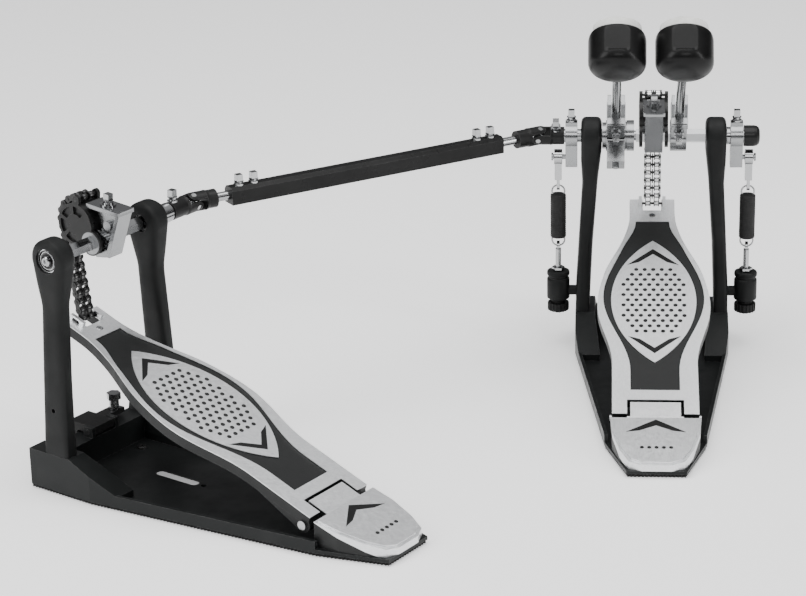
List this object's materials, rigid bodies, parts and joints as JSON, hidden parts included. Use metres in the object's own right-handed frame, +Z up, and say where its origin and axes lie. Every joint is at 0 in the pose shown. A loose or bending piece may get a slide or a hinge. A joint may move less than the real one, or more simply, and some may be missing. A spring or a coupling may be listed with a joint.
{
  "type": "bass drum pedal",
  "caption": "Twin bass drum pedal: footboards on rubber-backed bases turn chain-driven axles between posts, and a jointed drive shaft links them to the felt beaters.",
  "frame": {"origin": "on the floor below the middle of the right pedal's axle", "axes": "+X right along the right pedal's axle, +Y towards the drum, +Z up"},
  "size_m": [0.6092, 0.5278, 0.3468],
  "materials": {
    "mat_rubber": "matte rubber with a toothed edge",
    "base_steel": "dark grey satin coat on sheet and cast metal",
    "cast_aluminium": "polished top rim and lens, satin black recess and sides",
    "post_coat": "black powder coat",
    "bearing_steel": "turned steel",
    "wheel_black": "satin black coat",
    "chain_steel": "oiled nickel-plated steel",
    "bright_chrome": "bright plated steel",
    "satin_chrome": "satin plated casting",
    "bolt_chrome": "plated steel",
    "beater_plastic": "glossy black",
    "beater_felt": "pressed felt",
    "black_steel": "black oxide",
    "channel_coat": "satin black coat",
    "cap_plastic": "moulded black",
    "knob_black": "knurled black",
    "spring_sleeve": "rubber sleeve over a steel spring",
    "jaw_coat": "black coat on cast steel"
  },
  "bodies": {
    "frame": {"right_base": "base_steel", "left_base": "base_steel", "right_mat": "mat_rubber", "left_mat": "mat_rubber", "right_heel": "cast_aluminium", "left_heel": "cast_aluminium", "right_posts": "post_coat", "left_posts": "post_coat", "axle_bearings": "bearing_steel", "hinge_pins": "bolt_chrome"},
    "right_footboard": {"right_footboard": "cast_aluminium"},
    "left_footboard": {"left_footboard": "cast_aluminium"},
    "right_axle": {"right_axle": "bright_chrome", "right_chain_wheel": "wheel_black", "right_cam_clamp": "satin_chrome", "right_beater_hub": "satin_chrome", "right_spring_lever": "satin_chrome", "right_axle_cap": "cap_plastic", "right_key_bolts": "bolt_chrome", "right_chain_wrap": "chain_steel"},
    "right_chain_upper_link": {"right_chain_upper_link": "chain_steel"},
    "right_chain_lower_link": {"right_chain_lower_link": "chain_steel"},
    "right_chain_run": {"right_chain_run": "chain_steel"},
    "right_beater": {"right_beater_shaft": "bright_chrome", "right_beater_core": "beater_plastic", "right_beater_felt": "beater_felt"},
    "slave": {"slave_beater_hub": "satin_chrome", "slave_spring_lever": "satin_chrome", "slave_yoke": "black_steel", "slave_key_bolts": "bolt_chrome"},
    "left_beater": {"left_beater_shaft": "bright_chrome", "left_beater_core": "beater_plastic", "left_beater_felt": "beater_felt"},
    "right_joint_cross": {"right_joint_cross": "bolt_chrome"},
    "left_joint_cross": {"left_joint_cross": "bolt_chrome"},
    "drive_shaft": {"shaft_channel": "channel_coat", "shaft_rods": "bright_chrome", "shaft_yokes": "black_steel", "shaft_key_bolts": "bolt_chrome"},
    "left_axle": {"left_axle": "bright_chrome", "left_chain_wheel": "wheel_black", "left_cam_clamp": "satin_chrome", "left_yoke": "black_steel", "left_key_bolts": "bolt_chrome", "left_chain_wrap": "chain_steel"},
    "left_chain_upper_link": {"left_chain_upper_link": "chain_steel"},
    "left_chain_lower_link": {"left_chain_lower_link": "chain_steel"},
    "left_chain_run": {"left_chain_run": "chain_steel"},
    "right_spring_rod": {"right_spring_rod": "bolt_chrome", "right_spring": "spring_sleeve"},
    "left_spring_rod": {"left_spring_rod": "bolt_chrome", "left_spring": "spring_sleeve"},
    "right_spring_hook": {"right_spring_hook": "bolt_chrome"},
    "left_spring_hook": {"left_spring_hook": "bolt_chrome"},
    "right_tension_nut": {"right_tension_nut": "knob_black"},
    "left_tension_nut": {"left_tension_nut": "knob_black"},
    "right_hoop_jaw": {"right_hoop_jaw": "jaw_coat"},
    "left_hoop_jaw": {"left_hoop_jaw": "jaw_coat"},
    "right_hoop_bolt": {"right_hoop_bolt": "bolt_chrome"},
    "left_hoop_bolt": {"left_hoop_bolt": "bolt_chrome"}
  },
  "joints": [
    {"name": "right_stroke", "type": "hinge", "parent": "frame", "child": "right_axle", "pos_m": [0, 0, 0.201], "axis": [-1, 0, 0], "range_deg": [0, 50], "stiffness_Nm_per_rad": 0.8, "springref_deg": -20.05},
    {"name": "left_stroke", "type": "hinge", "parent": "frame", "child": "slave", "pos_m": [0, 0, 0.201], "axis": [-1, 0, 0], "range_deg": [0, 45.77], "stiffness_Nm_per_rad": 0.8, "springref_deg": -20.05},
    {"name": "right_footboard_tilt", "type": "hinge", "parent": "frame", "child": "right_footboard", "pos_m": [0, -0.22889, 0.02069], "axis": [-1, 0, 0], "range_deg": [0, 8.08]},
    {"name": "right_chain_upper_turn", "type": "hinge", "parent": "right_axle", "child": "right_chain_upper_link", "pos_m": [0, 0.03276, 0.22747], "axis": [-1, 0, 0], "range_deg": [-16.95, 0]},
    {"name": "right_chain_lower_turn", "type": "hinge", "parent": "right_chain_upper_link", "child": "right_chain_lower_link", "pos_m": [0, 0.03626, 0.22118], "axis": [-1, 0, 0], "range_deg": [-19.28, 0]},
    {"name": "right_chain_run_turn", "type": "hinge", "parent": "right_chain_lower_link", "child": "right_chain_run", "pos_m": [0, 0.0375, 0.21409], "axis": [-1, 0, 0], "range_deg": [-19.28, 0]},
    {"name": "right_jaw_close", "type": "hinge", "parent": "frame", "child": "right_hoop_jaw", "pos_m": [0, 0.015, 0.033], "axis": [-1, 0, 0], "range_deg": [0, 6], "stiffness_Nm_per_rad": 1, "springref_deg": -8.59},
    {"name": "right_jaw_bolt_travel", "type": "slide", "parent": "frame", "child": "right_hoop_bolt", "axis": [0, 0, -1], "range_m": [0, 0.00081]},
    {"name": "left_axle_turn", "type": "hinge", "parent": "frame", "child": "left_axle", "pos_m": [-0.4503, -0.2907, 0.201], "axis": [-0.5277, -0.8494, 0], "range_deg": [0, 50]},
    {"name": "left_footboard_tilt", "type": "hinge", "parent": "frame", "child": "left_footboard", "pos_m": [-0.25587, -0.41149, 0.02069], "axis": [-0.5277, -0.8494, 0], "range_deg": [0, 8.08]},
    {"name": "left_chain_upper_turn", "type": "hinge", "parent": "left_axle", "child": "left_chain_upper_link", "pos_m": [-0.47812, -0.27341, 0.22747], "axis": [-0.5277, -0.8494, 0], "range_deg": [-16.95, 0]},
    {"name": "left_chain_lower_turn", "type": "hinge", "parent": "left_chain_upper_link", "child": "left_chain_lower_link", "pos_m": [-0.4811, -0.27156, 0.22118], "axis": [-0.5277, -0.8494, 0], "range_deg": [-19.28, 0]},
    {"name": "left_chain_run_turn", "type": "hinge", "parent": "left_chain_lower_link", "child": "left_chain_run", "pos_m": [-0.48215, -0.27091, 0.21409], "axis": [-0.5277, -0.8494, 0], "range_deg": [-19.28, 0]},
    {"name": "left_jaw_close", "type": "hinge", "parent": "frame", "child": "left_hoop_jaw", "pos_m": [-0.46304, -0.28278, 0.033], "axis": [-0.5277, -0.8494, 0], "range_deg": [0, 6], "stiffness_Nm_per_rad": 1, "springref_deg": -8.59},
    {"name": "left_jaw_bolt_travel", "type": "slide", "parent": "frame", "child": "left_hoop_bolt", "axis": [0, 0, -1], "range_m": [0, 0.00081]},
    {"name": "right_beater_height", "type": "slide", "parent": "right_axle", "child": "right_beater", "axis": [0, -0.766, 0.6428], "range_m": [-0.005, 0.015]},
    {"name": "left_beater_height", "type": "slide", "parent": "slave", "child": "left_beater", "axis": [0, -0.766, 0.6428], "range_m": [-0.005, 0.015]},
    {"name": "drive_shaft_turn", "type": "hinge", "parent": "frame", "child": "drive_shaft", "pos_m": [-0.39067, -0.19471, 0.201], "axis": [-0.8272, -0.5619, 0], "range_deg": [0, 54.07]},
    {"name": "left_cross_tilt", "type": "hinge", "parent": "left_axle", "child": "left_joint_cross", "pos_m": [-0.39067, -0.19471, 0.201], "axis": [-0.7698, 0.4783, 0.4226], "range_deg": [0, 21.28]},
    {"name": "right_cross_tilt", "type": "hinge", "parent": "slave", "child": "right_joint_cross", "pos_m": [-0.104, 0, 0.201], "axis": [0, 0.9213, 0.3889], "range_deg": [-29.6, 0]},
    {"name": "right_spring_swing", "type": "hinge", "parent": "frame", "child": "right_spring_rod", "pos_m": [0.086, 0, 0.058], "axis": [1, 0, 0], "range_deg": [0, 6.72]},
    {"name": "right_spring_stretch", "type": "slide", "parent": "right_spring_rod", "child": "right_spring_hook", "axis": [0, 0, 1], "range_m": [0, 0.00805], "deforming": ["right_spring"]},
    {"name": "right_tension_nut_turn", "type": "hinge", "parent": "right_spring_rod", "child": "right_tension_nut", "pos_m": [0.086, 0, 0.038], "axis": [0, 0, 1], "continuous": true},
    {"name": "left_spring_swing", "type": "hinge", "parent": "frame", "child": "left_spring_rod", "pos_m": [-0.086, 0, 0.058], "axis": [1, 0, 0], "range_deg": [0, 6.34]},
    {"name": "left_spring_stretch", "type": "slide", "parent": "left_spring_rod", "child": "left_spring_hook", "axis": [0, 0, 1], "range_m": [0, 0.00685], "deforming": ["left_spring"]},
    {"name": "left_tension_nut_turn", "type": "hinge", "parent": "left_spring_rod", "child": "left_tension_nut", "pos_m": [-0.086, 0, 0.038], "axis": [0, 0, 1], "continuous": true}
  ],
  "couplings": [
    {"joint": "right_footboard_tilt", "follows": "right_stroke", "ratio": 0.16144},
    {"joint": "right_chain_upper_turn", "follows": "right_stroke", "ratio": -0.33886},
    {"joint": "right_chain_lower_turn", "follows": "right_stroke", "ratio": -0.38556},
    {"joint": "right_chain_run_turn", "follows": "right_stroke", "ratio": -0.38556},
    {"joint": "right_jaw_bolt_travel", "follows": "right_jaw_close", "m_per_rad": 0.0076394},
    {"joint": "left_axle_turn", "follows": "left_stroke", "ratio": 1.0924},
    {"joint": "left_footboard_tilt", "follows": "left_stroke", "ratio": 0.17636},
    {"joint": "left_chain_upper_turn", "follows": "left_stroke", "ratio": -0.37018},
    {"joint": "left_chain_lower_turn", "follows": "left_stroke", "ratio": -0.42119},
    {"joint": "left_chain_run_turn", "follows": "left_stroke", "ratio": -0.42119},
    {"joint": "left_jaw_bolt_travel", "follows": "left_jaw_close", "m_per_rad": 0.0076394},
    {"joint": "drive_shaft_turn", "follows": "left_stroke", "ratio": 1.1813},
    {"joint": "left_cross_tilt", "follows": "left_stroke", "ratio": 0.46489},
    {"joint": "right_cross_tilt", "follows": "left_stroke", "ratio": -0.64658},
    {"joint": "right_spring_swing", "follows": "right_stroke", "ratio": 0.13428},
    {"joint": "right_spring_stretch", "follows": "right_stroke", "m_per_rad": 0.0092166},
    {"joint": "left_spring_swing", "follows": "left_stroke", "ratio": 0.13843},
    {"joint": "left_spring_stretch", "follows": "left_stroke", "m_per_rad": 0.0085624}
  ]
}
